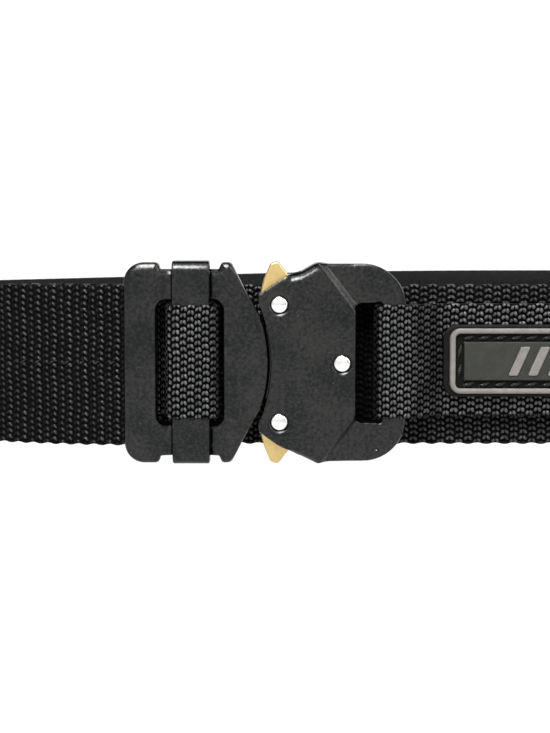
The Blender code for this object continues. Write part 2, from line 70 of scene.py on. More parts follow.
# Wide web
WEB_WIDTH, WEB_THICKNESS, WEB_LIFT = 38.0, 2.6, 3.7
WEB_END_X, WEB_END_Y = -27.5, -2.9
LEFT_RADIUS, LEFT_TURN = 100.0, 20.0
BEND_RADIUS, BEND_TURN, REAR_RUN = 66.0, 126.0, 86.0
LOOP_DEPTH, RIGHT_CENTRE_X = 196.0, 142.0
LEVEL_LEFT, LEVEL_RIGHT_X = 35.0, 84.0
SHIFT_START_X, TAIL_TURN = 2.0, 19.0
WEB_ROWS, WEB_RELIEF = 26, 0.8

# Straps
STRAP_WIDTH, STRAP_THICKNESS, STRAP_PLY = 26.6, 1.7, 1.66
STRAP_MID_Z = 24.1
STRAP_ROWS, STRAP_RELIEF = 17, 0.7
GAP = 0.3

# Weaves: two neighbouring columns of floats, half a row apart; each float is two lobes that lean
# towards each other. Columns: parity, middle across (columns), middle up (rows), half width,
# half height, height, lean (columns in a row), share of the height that is lost on the left stretch
STRAP_LOBES = (
    (0, -0.24, 0.00, 0.25, 0.40, 0.88, 0.20, 0.0),
    (0, 0.22, -0.01, 0.26, 0.43, 1.00, -0.20, 0.0),
    (1, -0.24, -0.02, 0.25, 0.39, 0.80, 0.20, 0.0),
    (1, 0.22, 0.01, 0.26, 0.43, 0.92, -0.20, 0.0),
)
WEB_LOBES = (
    (0, -0.24, 0.00, 0.24, 0.40, 0.88, 0.22, 0.45),
    (0, 0.20, -0.01, 0.23, 0.45, 1.00, -0.35, 0.0),
    (1, -0.24, -0.02, 0.24, 0.39, 0.80, 0.22, 0.5),
    (1, 0.20, 0.01, 0.23, 0.43, 0.92, -0.22, 0.12),
)
LOBE_POWER = 0.7

# Mesh of a band: its edges' radius, the waves of its edges, and how deep in the weave's relief a
# stretch lies that has no relief of its own
SAMPLES_PER_COLUMN, SAMPLES_PER_ROW, BACK_ROWS = 6, 6, 10
BAND_EDGE, EDGE_SCALLOP, FLAT_SUNK = 0.5, 0.16, 0.35


def world(x, y, z):
    """A place measured from the buckle, in the frame's metres."""
    return ((ORIGIN.x + x) * MM, (ORIGIN.y + y) * MM, (ORIGIN.z + z) * MM)


def add_mesh(name, x, y, z, faces):
    """A smooth mesh whose points are measured from the buckle."""
    mesh = bpy.data.meshes.new(name)
    mesh.from_pydata(np.column_stack(world(x, y, z)).tolist(), [], faces)
    mesh.shade_smooth()
    return mesh


def mark(mesh, **shares):
    """Gives the mesh's points the named shares that its material reads."""
    for key, values in shares.items():
        attribute = mesh.attributes.new(key, "FLOAT", "POINT")
        attribute.data.foreach_set("value", np.ravel(values).astype(np.float32))


def add_object(name, data):
    piece = bpy.data.objects.new(name, data)
    bpy.context.scene.collection.objects.link(piece)
    return piece


def place(mesh, finish, node=None, body="belt"):
    """Adds a mesh as a piece on its body, instead of its CAD node."""
    piece = add_object(mesh.name, mesh)
    mesh.materials.append(finish)
    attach(piece, body)
    if node:
        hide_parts(node)


def tube_faces(rings, around):
    """The quads between rings of points, and then the caps on the first and the last ring."""
    index = np.arange(rings * around).reshape(rings, around)
    after = np.roll(index, -1, axis=1)
    quads = np.stack((index[:-1], index[1:], after[1:], after[:-1]), axis=-1).reshape(-1, 4)
    return quads.tolist() + [index[0].tolist(), index[-1][::-1].tolist()]


# Material graphs

class Graph:
    """Short ways of adding nodes to a material."""

    def __init__(self, name):
        self.material = bpy.data.materials.new(name)
        self.material.use_nodes = True
        self.tree = self.material.node_tree
        self.shader = self.tree.nodes["Principled BSDF"]

    def feed(self, socket, value):
        if isinstance(value, bpy.types.NodeSocket):
            self.tree.links.new(value, socket)
        else:
            socket.default_value = value

    def add(self, kind, inputs=(), **settings):
        node = self.tree.nodes.new(kind)
        for key, value in settings.items():
            setattr(node, key, value)
        for key, value in dict(inputs).items():
            self.feed(node.inputs[key], value)
        return node

    def math(self, operation, *values):
        return self.add("ShaderNodeMath", enumerate(values), operation=operation).outputs[0]

    def times(self, first, second):
        return self.math("MULTIPLY", first, second)

    def attribute(self, name):
        return self.add("ShaderNodeAttribute", attribute_name=name).outputs["Fac"]

    def spread(self, value, low, high, to_low, to_high, smooth=True):
        """The value mapped from one range to another and held at its ends."""
        return self.add("ShaderNodeMapRange",
                        {"Value": value, "From Min": low, "From Max": high, "To Min": to_low,
                         "To Max": to_high},
                        interpolation_type="SMOOTHSTEP" if smooth else "LINEAR").outputs["Result"]

    def vary(self, noise, to_low, to_high):
        """A noise's usual range mapped straight to another."""
        return self.spread(noise, 0.3, 0.7, to_low, to_high, False)

    def blend(self, factor, first, second):
        return self.add("ShaderNodeMix", {0: factor, 6: first, 7: second}, data_type="RGBA").outputs[2]

    def noise(self, vector, scale, detail=3.0, roughness=0.5, stretch=None):
        if stretch:
            vector = self.add("ShaderNodeMapping", {"Vector": vector, "Scale": stretch}).outputs[0]
        return self.add("ShaderNodeTexNoise", {"Vector": vector, "Scale": scale, "Detail": detail,
                                               "Roughness": roughness}).outputs["Fac"]

    def place_in_object(self):
        return self.add("ShaderNodeTexCoord").outputs["Object"]

    def bump(self, height, distance):
        return self.add("ShaderNodeBump", {"Height": height, "Distance": distance}).outputs["Normal"]

    def finish(self, **values):
        for key, value in values.items():
            self.feed(self.shader.inputs[key.replace("_", " ")], value)
        return self.material


def grey(value):
    return (value, value, value, 1.0)


ARRAY_MATH = {
    "SUBTRACT": np.subtract,
    "MULTIPLY": np.multiply,
    "DIVIDE": np.divide,
    "POWER": np.power,
    "MAXIMUM": np.maximum,
    "WRAP": lambda value, low, high: (value - low) % (high - low) + low,
}


def array_math(operation, *values):
    return ARRAY_MATH[operation](*values)


def weave_height(do, lobes, across, up, left_share):
    """The weave's height, 0 to 1, at a column and row; do is array_math, or a graph's own math."""
    height = 0.0
    for parity, middle_u, middle_v, half_u, half_v, tall, lean, lost in lobes:
        u = do("WRAP", do("SUBTRACT", across, parity + middle_u), -1.0, 1.0)
        v = do("WRAP", do("SUBTRACT", up, parity / 2 + middle_v), -0.5, 0.5)
        u = do("DIVIDE", do("SUBTRACT", u, do("MULTIPLY", v, lean)), half_u)
        rest = do("SUBTRACT", do("SUBTRACT", 1.0, do("POWER", u, 2.0)),
                  do("POWER", do("DIVIDE", v, half_v), 2.0))
        lobe = do("POWER", do("MAXIMUM", rest, 0.0), LOBE_POWER)
        kept = do("SUBTRACT", tall, do("MULTIPLY", left_share, lost * tall))
        height = do("MAXIMUM", height, do("MULTIPLY", lobe, kept))
    return height


def woven(name, lobes, light, dark, relief, roughness, shine):
    """Yarn in the mesh's own columns and rows; relief is the weave's depth where the mesh is flat.
    Painted highlights light the floats' tops and painted shade darkens the gaps, in colour and specular
    level.
    """
    graph = Graph(name)
    at = graph.add("ShaderNodeUVMap", uv_map="weave").outputs[0]
    left_share, outer = graph.attribute("left"), graph.attribute("outer")
    across, up = graph.add("ShaderNodeSeparateXYZ", {"Vector": at}).outputs[:2]
    height = weave_height(graph.math, lobes, across, up, left_share)
    floats = graph.noise(at, 0.8, 1.0)
    fibres = graph.noise(at, 9.0, 3.0, 0.6, (1.0, 2.6, 1.0))
    patches = graph.noise(at, 0.35, 2.0)
    ribs = graph.noise(at, 3.0, 2.0, 0.5, (0.6, 4.0, 1.0))
    # Painted highlight and shade: the tone rises from near black in the gaps to light on the floats'
    # tops; on the left stretch only the tops stay light, as painted shade where the web turns from the
    # light.
    tone = graph.spread(height, graph.math("MULTIPLY_ADD", left_share, 0.35, 0.1), 0.9, 0.0, 1.0)
    tone = graph.math("MAXIMUM", tone, graph.times(height, 0.62))
    tone = graph.times(tone, graph.spread(floats, 0.35, 0.65, 0.72, 1.12, False))
    # Painted shade: the tone is darker in the female slot and on the slope beside the patch, standing in
    # for shade there.
    tone = graph.times(tone, graph.attribute("painted_shade"))
    tone = graph.times(tone, graph.vary(fibres, 0.72, 1.15))
    tone = graph.times(tone, graph.vary(patches, 0.8, 1.15))
    lining = graph.vary(ribs, 0.16, 0.26)
    tone = graph.math("ADD", graph.times(graph.math("SUBTRACT", tone, lining), outer), lining)
    rise = graph.times(graph.math("ADD", height, graph.times(fibres, 0.22)), graph.attribute("bump"))
    rise = graph.math("ADD", graph.times(rise, outer), graph.times(ribs, 0.12))
    return graph.finish(
        Base_Color=graph.blend(tone, dark, light),
        Roughness=graph.vary(fibres, roughness - 0.06, roughness + 0.08),
        Normal=graph.bump(rise, relief * MM),
        Specular_IOR_Level=graph.spread(tone, 0.1, 1.0, 0.0, shine, False))


def black_metal():
    """Satin black anodising, mottled, with faint scuffs."""
    graph = Graph("black_metal")
    at = graph.place_in_object()
    broad = graph.noise(at, 90.0, 3.0)
    mottle = graph.noise(at, 1300.0, 4.0, 0.65)
    grain = graph.noise(at, 5200.0, 2.0)
    scuffs = graph.noise(at, 420.0, 6.0, 0.75, (0.25, 1.0, 1.0))
    tone = graph.math("ADD", graph.times(broad, 0.35), graph.times(mottle, 0.65))
    colour = graph.blend(graph.spread(tone, 0.38, 0.62, 0.0, 1.0), (0.02, 0.0213, 0.0218, 1.0),
                         (0.0427, 0.0427, 0.0413, 1.0))
    colour = graph.blend(graph.spread(scuffs, 0.70, 0.82, 0.0, 0.3), colour, grey(0.12))
    specks = graph.spread(graph.noise(at, 2300.0, 1.0), 0.74, 0.80, 0.0, 0.5)
    colour = graph.blend(specks, colour, grey(0.2))
    worn = graph.times(graph.spread(graph.attribute("inset"), 0.02, 0.4, 1.0, 0.0),
                       graph.spread(mottle, 0.42, 0.62, 0.15, 0.6))
    colour = graph.blend(worn, colour, grey(0.07))
    rough = graph.vary(mottle, 0.22, 0.27)
    return graph.finish(Base_Color=colour, Metallic=1.0, Roughness=rough,
                        Normal=graph.bump(graph.math("ADD", grain, mottle), 0.012 * MM))


def bright_metal(name, light, dark, roughness, grain_depth):
    """Brass or steel: fine grain, a little tarnish in patches."""
    graph = Graph(name)
    at = graph.place_in_object()
    tarnish = graph.noise(at, 260.0, 4.0, 0.6)
    grain = graph.noise(at, 3800.0, 2.0, 0.5, (1.0, 1.0, 0.3))
    return graph.finish(
        Base_Color=graph.blend(graph.spread(tarnish, 0.35, 0.7, 0.0, 1.0), light, dark),
        Metallic=1.0,
        Roughness=graph.vary(tarnish, roughness - 0.04, roughness + 0.06),
        Normal=graph.bump(grain, grain_depth * MM))


def rubber(name, light, dark, shine):
    """Moulded rubber, with painted shade where it is sunk: its colour darkens and its reflection fades in
    the recesses.
    """
    roughness = 0.55
    graph = Graph(name)
    at = graph.place_in_object()
    dust = graph.noise(at, 600.0, 4.0, 0.6)
    pores = graph.noise(at, 4200.0, 2.0)
    # Painted shade: the deeper below the top, the darker and less shiny the rubber.
    sunk = graph.attribute("sunk")
    colour = graph.blend(graph.spread(dust, 0.35, 0.7, 0.0, 1.0), dark, light)
    return graph.finish(
        Base_Color=graph.blend(graph.spread(sunk, 0.3, 0.85, 0.0, 0.95), colour, grey(0.003)),
        Roughness=graph.vary(dust, roughness - 0.05, roughness + 0.08),
        Specular_IOR_Level=graph.spread(sunk, 0.3, 0.85, shine, 0.05),
        Normal=graph.bump(pores, 0.03 * MM))


def thread(name):
    """Black sewing thread with a slanting twist."""
    graph = Graph(name)
    at = graph.place_in_object()
    twist = graph.add("ShaderNodeTexWave", {"Vector": at, "Scale": 900.0, "Distortion": 1.0},
                      bands_direction="DIAGONAL").outputs["Fac"]
    return graph.finish(Base_Color=graph.blend(twist, grey(0.002), grey(0.008)), Roughness=0.32,
                        Specular_IOR_Level=0.25, Normal=graph.bump(twist, 0.08 * MM))


def plain_floor():
    """Matt white that shines a little itself, so that it stays white in its own corners."""
    graph = Graph("studio_white")
    cloud = graph.noise(graph.place_in_object(), 2.0, 2.0)
    return graph.finish(Base_Color=graph.blend(cloud, grey(0.1), grey(0.11)), Roughness=0.9,
                        Specular_IOR_Level=0.1, Emission_Color=grey(1.0), Emission_Strength=1.0)


# Plan routes: arrays of x, y, heading and distance, outer face on the left of the way

# The longest step along the web's route, and round a corner of a strap's
WEB_STEP, STRAP_STEP = 0.25, 0.15


def route_by_turns(x, y, heading, segments):
    """A route of lines and right-hand arcs, each given as its length and its turn in degrees."""
    rows = [(x, y, heading)]
    for length, turn in segments:
        count = max(1, math.ceil(length / WEB_STEP))
        piece, bend = length / count, turn * TURN / count
        for _ in range(count):
            x += piece * math.cos(heading - bend / 2)
            y += piece * math.sin(heading - bend / 2)
            heading -= bend
            rows.append((x, y, heading))
    return measured(rows)


def corner_arc(before, corner, after, step):
    """Points and headings along the arc that rounds a corner, at most step radians apart."""
    x, y, radius = corner
    start = math.atan2(y - before[1], x - before[0])
    turn = (math.atan2(after[1] - y, after[0] - x) - start + math.pi) % (2 * math.pi) - math.pi
    reach = radius * math.tan(abs(turn) / 2)
    side = math.copysign(radius, turn)
    cx = x - reach * math.cos(start) - side * math.sin(start)
    cy = y - reach * math.sin(start) + side * math.cos(start)
    count = max(2, math.ceil(abs(turn) / step))
    ways = [start + turn * number / count for number in range(count + 1)]
    return [(cx + side * math.sin(way), cy - side * math.cos(way), way) for way in ways]


def route_by_corners(corners):
    """A route through corners (x, y, radius), each rounded by its own radius, apart from its two ends."""
    rows = []
    for before, corner, after in zip(corners, corners[1:], corners[2:]):
        rows += corner_arc(before, corner, after, STRAP_STEP / corner[2])
    return measured([(*corners[0][:2], rows[0][2]), *rows, (*corners[-1][:2], rows[-1][2])])


def measured(rows):
    """Rows of x, y and heading, with the distance along the route added to each."""
    rows = np.array(rows)
    rows[:, 2] = np.unwrap(rows[:, 2])
    steps = np.hypot(np.diff(rows[:, 0]), np.diff(rows[:, 1]))
    return np.column_stack((rows, np.concatenate(([0.0], np.cumsum(steps)))))


def curve(radius, turn):
    """An arc's length and its turn in degrees."""
    return radius * abs(turn) * TURN, turn


def web_segments():
    """Length and turn of each stretch of the web, from its end under the male frame to its tail."""
    turned = LEFT_TURN + BEND_TURN
    rear_turn = 180.0 - turned
    shrink = LEFT_RADIUS - BEND_RADIUS
    bend_x = WEB_END_X - shrink * math.sin(LEFT_TURN * TURN)
    rear_x = bend_x - BEND_RADIUS * math.sin(turned * TURN) + REAR_RUN * math.cos(rear_turn * TURN)
    bend_y = WEB_END_Y + LEFT_RADIUS - shrink * math.cos(LEFT_TURN * TURN)
    rear_y = bend_y - BEND_RADIUS * math.cos(turned * TURN) + REAR_RUN * math.sin(rear_turn * TURN)
    rear_radius = (LOOP_DEPTH - rear_y) / (1 - math.cos(rear_turn * TURN))
    rear_end_x = rear_x + rear_radius * math.sin(rear_turn * TURN)
    tail_radius = LEFT_RADIUS - WEB_THICKNESS - 2 * STRAP_THICKNESS - 2 * GAP
    shift = WEB_END_Y + LEFT_RADIUS - tail_radius
    run = SHIFT_START_X - WEB_END_X
    shift_radius = (run ** 2 + shift ** 2) / (4 * shift)
    shift_turn = 2 * math.atan2(shift, run) / TURN
    return [
        curve(LEFT_RADIUS, LEFT_TURN),
        curve(BEND_RADIUS, BEND_TURN),
        (REAR_RUN, 0.0),
        curve(rear_radius, rear_turn),
        (RIGHT_CENTRE_X - rear_end_x, 0.0),
        curve(LOOP_DEPTH / 2, 180.0),
        (RIGHT_CENTRE_X - LEVEL_RIGHT_X, 0.0),
        (LEVEL_RIGHT_X - SHIFT_START_X, 0.0),
        curve(shift_radius, shift_turn),
        curve(shift_radius, -shift_turn),
        curve(tail_radius, TAIL_TURN),
    ]


def smooth_step(value):
    """0 to 1 with level ends."""
    value = np.clip(value, 0.0, 1.0)
    return value * value * (3 - 2 * value)


# Woven bands

def band_section(width, rows):
    """A band's cross-section from its lower edge up the outer face and back down the inner one.

    Gives each point's height, how far through the band it is and how far an edge bulges there, and
    the number of points before the inner face.
    """
    face = np.linspace(BAND_EDGE, width - BAND_EDGE, rows * SAMPLES_PER_ROW + 1)
    back = np.linspace(face[-1], face[0], BACK_ROWS)
    bend = np.linspace(0.0, math.pi, 8)[1:-1]
    bulge, swing = np.sin(bend), (1 - np.cos(bend)) / 2
    rise = np.concatenate((face, face[-1] + BAND_EDGE * bulge, back, face[0] - BAND_EDGE * bulge))
    through = np.concatenate((np.zeros_like(face), swing, np.ones_like(back), swing[::-1]))
    lip = np.concatenate((np.zeros_like(face), bulge, np.zeros_like(back), -bulge))
    return rise, through, lip, len(face) + len(bend)


def between(x, start, end, fade):
    return smooth_step((x - start) / fade) * (1 - smooth_step((x - end) / fade))


def painted_shade_at(x, y):
    """Painted shade: 1 where the yarn is lit in full, less in the female slot and on the slope beside the
    patch, where the colour is darkened to stand in for shade.
    """
    in_slot = between(x, 17.0, 25.5, 2.0) * (y < 20.0)
    on_slope = between(x, 33.0, 39.5, 3.0) * (y < -2.0)
    return 1.0 - 0.8 * in_slot - 0.35 * on_slope


def unwrap(mesh, across, up):
    """Writes the weave's columns and rows on a band's quads; its two end caps come last and get none."""
    corner = np.stack((across, up), axis=-1)
    quads = np.stack((corner[:-1, :-1], corner[1:, :-1], corner[1:, 1:], corner[:-1, 1:]), axis=2)
    caps = np.zeros(4 * (across.shape[1] - 1))
    layer = mesh.uv_layers.new(name="weave")
    layer.data.foreach_set("uv", np.append(quads, caps).astype(np.float32))


def woven_band(name, lobes, route, stations, columns, fine, low, width, rows, outer, thickness, relief):
    """A band of cross-sections at distances along a route.

    columns, fine and low give the weave's column, its share of real relief and the band's lower edge
    at each station; outer is the outer face's distance from the route.
    """
    x, y, heading = (np.interp(stations, route[:, 3], route[:, part])[:, None] for part in range(3))
    rise, through, lip, back_start = band_section(width, rows)
    up, share, left_share = rise / width * rows, fine[:, None], smooth_step((-5.0 - x) / 40.0)
    # Slow waves keep the yarn from lying ruler-straight
    wobble = (0.05 * np.sin(columns * 0.37) + 0.04 * np.sin(columns * 1.13 + 2.0))[:, None]
    across = columns[:, None] + 0.06 * np.sin(up * 0.61) + 0.05 * np.sin(up * 1.7 + 1.0)
    height = weave_height(array_math, lobes, across, up + wobble, left_share)
    sunk = relief * (share * (1 - height) + (1 - share) * FLAT_SUNK)
    out = outer - (sunk * (1 - through) + through * thickness)
    z = low[:, None] + rise + EDGE_SCALLOP * lip * np.cos(math.pi * columns)[:, None] * share

    mesh = add_mesh(name, (x - np.sin(heading) * out).ravel(), (y + np.cos(heading) * out).ravel(),
                    z.ravel(), tube_faces(*z.shape))
    inner_up = rows + 1.5 + np.arange(z.shape[1] + 1 - back_start) * rows / BACK_ROWS
    unwrap(mesh, np.column_stack((across, across[:, 0])), np.append(up[:back_start], inner_up) + wobble)
    # The painted shade share goes to the material with the other marks; it darkens the yarn's colour in
    # the female slot and on the slope beside the patch.
    marks = {"bump": np.where(through < 0.5, 1.0 - 0.55 * share, 0.3), "outer": 1.0 - through,
             "left": left_share, "painted_shade": painted_shade_at(x, y)}
    mark(mesh, **{key: np.broadcast_to(values, z.shape) for key, values in marks.items()})
    return mesh


def spaced(length, stretches, column, coarse):
    """Distances along a band: fine inside the stretches (start, end), coarse between them."""
    marks = [0.0]
    while marks[-1] < length - 1e-6:
        at, step = marks[-1], column / SAMPLES_PER_COLUMN
        if not any(start <= at < end for start, end in stretches):
            step = min([coarse] + [start - at for start, _ in stretches if start > at])
        marks.append(min(at + step, length))
    return np.array(marks)


def fineness(stations, stretches, fade=3.0):
    """1 inside the stretches, falling to 0 over the fade at their ends."""
    return np.max([smooth_step(np.minimum(stations - start, end - stations) / fade)
                   for start, end in stretches], axis=0)


def build_web(finish):
    segments = web_segments()
    route = route_by_turns(WEB_END_X, WEB_END_Y, math.pi, segments)
    length = route[-1, 3]
    lengths = [segment[0] for segment in segments]
    bend_end = sum(lengths[:2])
    right_middle = sum(lengths[:5]) + lengths[5] / 2
    level_right = sum(lengths[:7])
    column_left, column_right = 1.93, 2.2
    stretches = ((-10.0, 58.0), (level_right + 10.0, level_right + LEVEL_RIGHT_X + 12.0))
    stations = spaced(length, stretches, column_right, 7.0)
    columns = -stations / (column_left + (column_right - column_left) * stations / length / 2)
    falling = 1 - smooth_step((stations - LEVEL_LEFT) / (bend_end - LEVEL_LEFT))
    rising = smooth_step((stations - right_middle) / (level_right - right_middle))
    low = WEB_LIFT * np.where(stations < right_middle, falling, rising)
    mesh = woven_band("web_woven", WEB_LOBES, route, stations, columns, fineness(stations, stretches),
                      low, WEB_WIDTH, WEB_ROWS, 0.0, WEB_THICKNESS, WEB_RELIEF)
    place(mesh, finish, "belt_web")


def build_strap(name, corners, stretches, pitch, finish, node):
    """pitch lists distances along the strap and the width of a column there."""
    route = route_by_corners(corners)
    stations = spaced(route[-1, 3], stretches, 1.8, 3.0)
    widths = np.interp(stations, *zip(*pitch))
    steps = np.diff(stations) * 2 / (widths[1:] + widths[:-1])
    columns = -np.concatenate(([0.0], np.cumsum(steps)))
    low = np.full_like(stations, STRAP_MID_Z - STRAP_WIDTH / 2)
    mesh = woven_band(name, STRAP_LOBES, route, stations, columns, fineness(stations, stretches, 2.0),
                      low, STRAP_WIDTH, STRAP_ROWS, STRAP_PLY / 2, STRAP_PLY, STRAP_RELIEF)
    place(mesh, finish, node)


def male_strap_corners():
    """From the left end along the rear ply, round the friction bar and back along the front ply."""
    centre_y = WEB_END_Y + LEFT_RADIUS
    front = LEFT_RADIUS - WEB_THICKNESS - GAP - STRAP_THICKNESS / 2
    rear = front - STRAP_THICKNESS
    turn = 14.0

    def on_arc(radius, degrees):
        angle = (270.0 - degrees) * TURN
        return (WEB_END_X + radius * math.cos(angle), centre_y + radius * math.sin(angle), radius)

    return ([on_arc(rear, degrees) for degrees in (turn, turn / 2, 0.0)]
            + [(-11.55, -1.2, 2.0), (-11.55, -10.05, 2.3), (-17.35, -10.35, 15.0),
               (-22.75, -10.05, 2.5), (-22.95, 0.35, 2.0)]
            + [on_arc(front, degrees) for degrees in (0.0, turn / 2, turn)])


FEMALE_STRAP_CORNERS = (
    (112.0, -2.85, 0.0),
    (41.3, -2.85, 5.85),
    (33.7, -8.85, 3.15),
    (26.05, -8.85, 2.5),
    (26.05, -1.85, 2.2),
    (32.2, -1.85, 6.0),
    (38.5, -1.15, 8.0),
    (112.0, -1.15, 0.0),
)

# Outlines of flat pieces

# Where a ledge's guides lie in widths of its edge, how wide its steep step is, and where a rounded
# edge's rings lie in degrees round it
LEDGE_ROWS = (-1.0, -0.8, -0.5, -0.25, -0.08, 0.0)
LEDGE_RUN = 0.12
RIM_ANGLES = (20, 38, 54, 66, 78, 90, 104)

# A plate's grid: its first point, its step, its distance from outlines and from other points; an inset
# that is far from every edge
GRID_START, GRID_STEP, GRID_MARGIN, GRID_CLEAR = 0.4, 1.3, 0.9, 0.6
FAR_INSET = 5.0

# Largest turn in degrees and longest side of an outline, and the points round a rivet
OUTLINE_TURN, OUTLINE_SIDE, RIVET_SIDES = 8.0, 0.7, 48


def rounded(corners):
    """The closed outline through corners (a, b, radius), its long sides cut into short ones."""
    outline = []
    for index, corner in enumerate(corners):
        if corner[2] > 0.0:
            after = corners[(index + 1) % len(corners)]
            points = corner_arc(corners[index - 1], corner, after, OUTLINE_TURN * TURN)
            outline += [point[:2] for point in points]
        else:
            outline.append(corner[:2])
    return divided(np.array(outline), OUTLINE_SIDE, closed=True)


def divided(points, longest, closed=False):
    """The points with more between them, so that no step is longer than longest."""
    ends = np.roll(points, -1, axis=0) if closed else points[1:]
    made = []
    for start, end in zip(points, ends):
        pieces = max(1, math.ceil(np.hypot(*(end - start)) / longest))
        made += [start + (end - start) * number / pieces for number in range(pieces)]
    if not closed:
        made.append(points[-1])
    made = np.array(made)
    if closed:
        made = made[np.hypot(*(made - np.roll(made, 1, axis=0)).T) > 1e-4]
    return made


def arc(centre_x, centre_y, radius, start, end, steps):
    angles = np.linspace(start, end, steps + 1) * TURN
    return [(centre_x + radius * math.cos(angle), centre_y + radius * math.sin(angle), 0.0)
            for angle in angles]


def circle(centre_x, centre_y, radius):
    return rounded(arc(centre_x, centre_y, radius, 0, 350, 35))


def both_halves(upper):
    """The corners of the upper half, then their mirror images in reverse order."""
    return list(upper) + [(x, -y, radius) for x, y, radius in reversed(upper)]


def rectangle(left, right, half_height, radius):
    return [(left, half_height, radius), (right, half_height, radius),
            (right, -half_height, radius), (left, -half_height, radius)]


def turned_left(loop, wanted):
    """The loop, going round to the left if wanted is 1 and to the right if it is -1."""
    x, y = loop.T
    area = np.sum(x * np.roll(y, -1) - np.roll(x, -1) * y)
    return loop if area * wanted > 0 else loop[::-1]


def distance_to(points, loop):
    """Distance of each point from a closed outline."""
    best = np.full(len(points), np.inf)
    for start, end in zip(loop, np.roll(loop, -1, axis=0)):
        along = end - start
        share = np.clip((points - start) @ along / (along @ along), 0.0, 1.0)
        near = points - start - share[:, None] * along
        best = np.minimum(best, np.einsum("ij,ij->i", near, near))
    return np.sqrt(best)


def nearest(points, loops):
    return np.min([distance_to(points, loop) for loop in loops], axis=0)


def inside(points, loops):
    """Whether each point lies in the first loop and in none of the others."""
    crossings = np.zeros(len(points), int)
    px, py = points.T
    for loop in loops:
        for (ax, ay), (bx, by) in zip(loop, np.roll(loop, -1, axis=0)):
            if ay != by:
                hit = ((ay > py) != (by > py)) & (px < (bx - ax) * (py - ay) / (by - ay) + ax)
                crossings += hit
    return crossings % 2 == 1


def ramp(share):
    """0 to 1 along a straight slope whose two ends are rounded."""
    share, soft = np.clip(share, 0.0, 1.0), 0.2
    low, high = share ** 2 / (2 * soft), 1 - soft - (1 - share) ** 2 / (2 * soft)
    return np.where(share < soft, low, np.where(share > 1 - soft, high, share - soft / 2)) / (1 - soft)


def shifted(points, offset, closed=False):
    """The points moved to the left of their way by an offset."""
    if closed:
        along = np.roll(points, -1, axis=0) - np.roll(points, 1, axis=0)
    else:
        along = np.gradient(points, axis=0)
    along = along / np.maximum(np.hypot(*along.T), 1e-9)[:, None]
    return points + offset * np.column_stack((-along[:, 1], along[:, 0]))


def rim(distance, width, radius=None):
    """How far an edge rounded over this width has dropped at a distance from the outline."""
    radius = radius or width
    reach = np.clip(width - distance, 0.0, width)
    return radius - np.sqrt(np.maximum(radius ** 2 - reach ** 2, 0.0))


def ledge(beyond, drop, width, radius=None):
    """A rounded edge followed by a steep step down; beyond is the distance past the edge."""
    start = rim(0.0, width, radius)
    return np.where(beyond < 0, rim(-beyond, width, radius),
                    start + (drop - start) * np.clip(beyond / LEDGE_RUN, 0.0, 1.0))


def guide(points, width, side=1.0):
    """Rows of points along a ledge, so that the mesh follows it; side -1 has it drop to the right."""
    line = divided(np.array(points), 0.5)
    offsets = [width * row for row in LEDGE_ROWS] + [LEDGE_RUN, LEDGE_RUN + 0.3]
    return np.concatenate([shifted(line, side * offset) for offset in offsets])


def plate_points(outlines, widths, guides):
    """The outlines' points, then points down their rounded edges, along the guides and on a grid."""
    def clear(points, gap):
        return points[(nearest(points, outlines) > gap) & inside(points, outlines)]

    spread = []
    for outline, width in zip(outlines, widths):
        insets = [width * (1 - math.cos(degrees * TURN)) for degrees in RIM_ANGLES]
        spread += [clear(shifted(outline, inset, closed=True), 0.93 * inset) for inset in insets]
    spread = np.concatenate(spread + [clear(points, 0.05) for points in guides])
    start, end = outlines[0].min(axis=0) + GRID_START, outlines[0].max(axis=0)
    a, b = np.meshgrid(*(np.arange(*ends, GRID_STEP) for ends in zip(start, end)))
    field = clear(np.column_stack((a.ravel(), b.ravel())), GRID_MARGIN)
    near = np.array([np.min(np.sum((spread - point) ** 2, axis=1)) for point in field])
    return np.concatenate(outlines + [spread, field[near > GRID_CLEAR ** 2]])


def triangulated(points, outlines):
    """The used points and the triangles of a flat plate; the points start with the outlines' own."""
    edges, first = [], 0
    for loop in outlines:
        edges += [(first + i, first + (i + 1) % len(loop)) for i in range(len(loop))]
        first += len(loop)
    solved = delaunay_2d_cdt([Vector(point) for point in points], edges, [], 0, 1e-5)
    flat, triangles = np.array([tuple(vertex) for vertex in solved[0]]), np.array(solved[2])
    triangles = triangles[inside(flat[triangles].mean(axis=1), outlines)]
    used, triangles = np.unique(triangles, return_inverse=True)
    return flat[used], triangles.reshape(-1, 3)


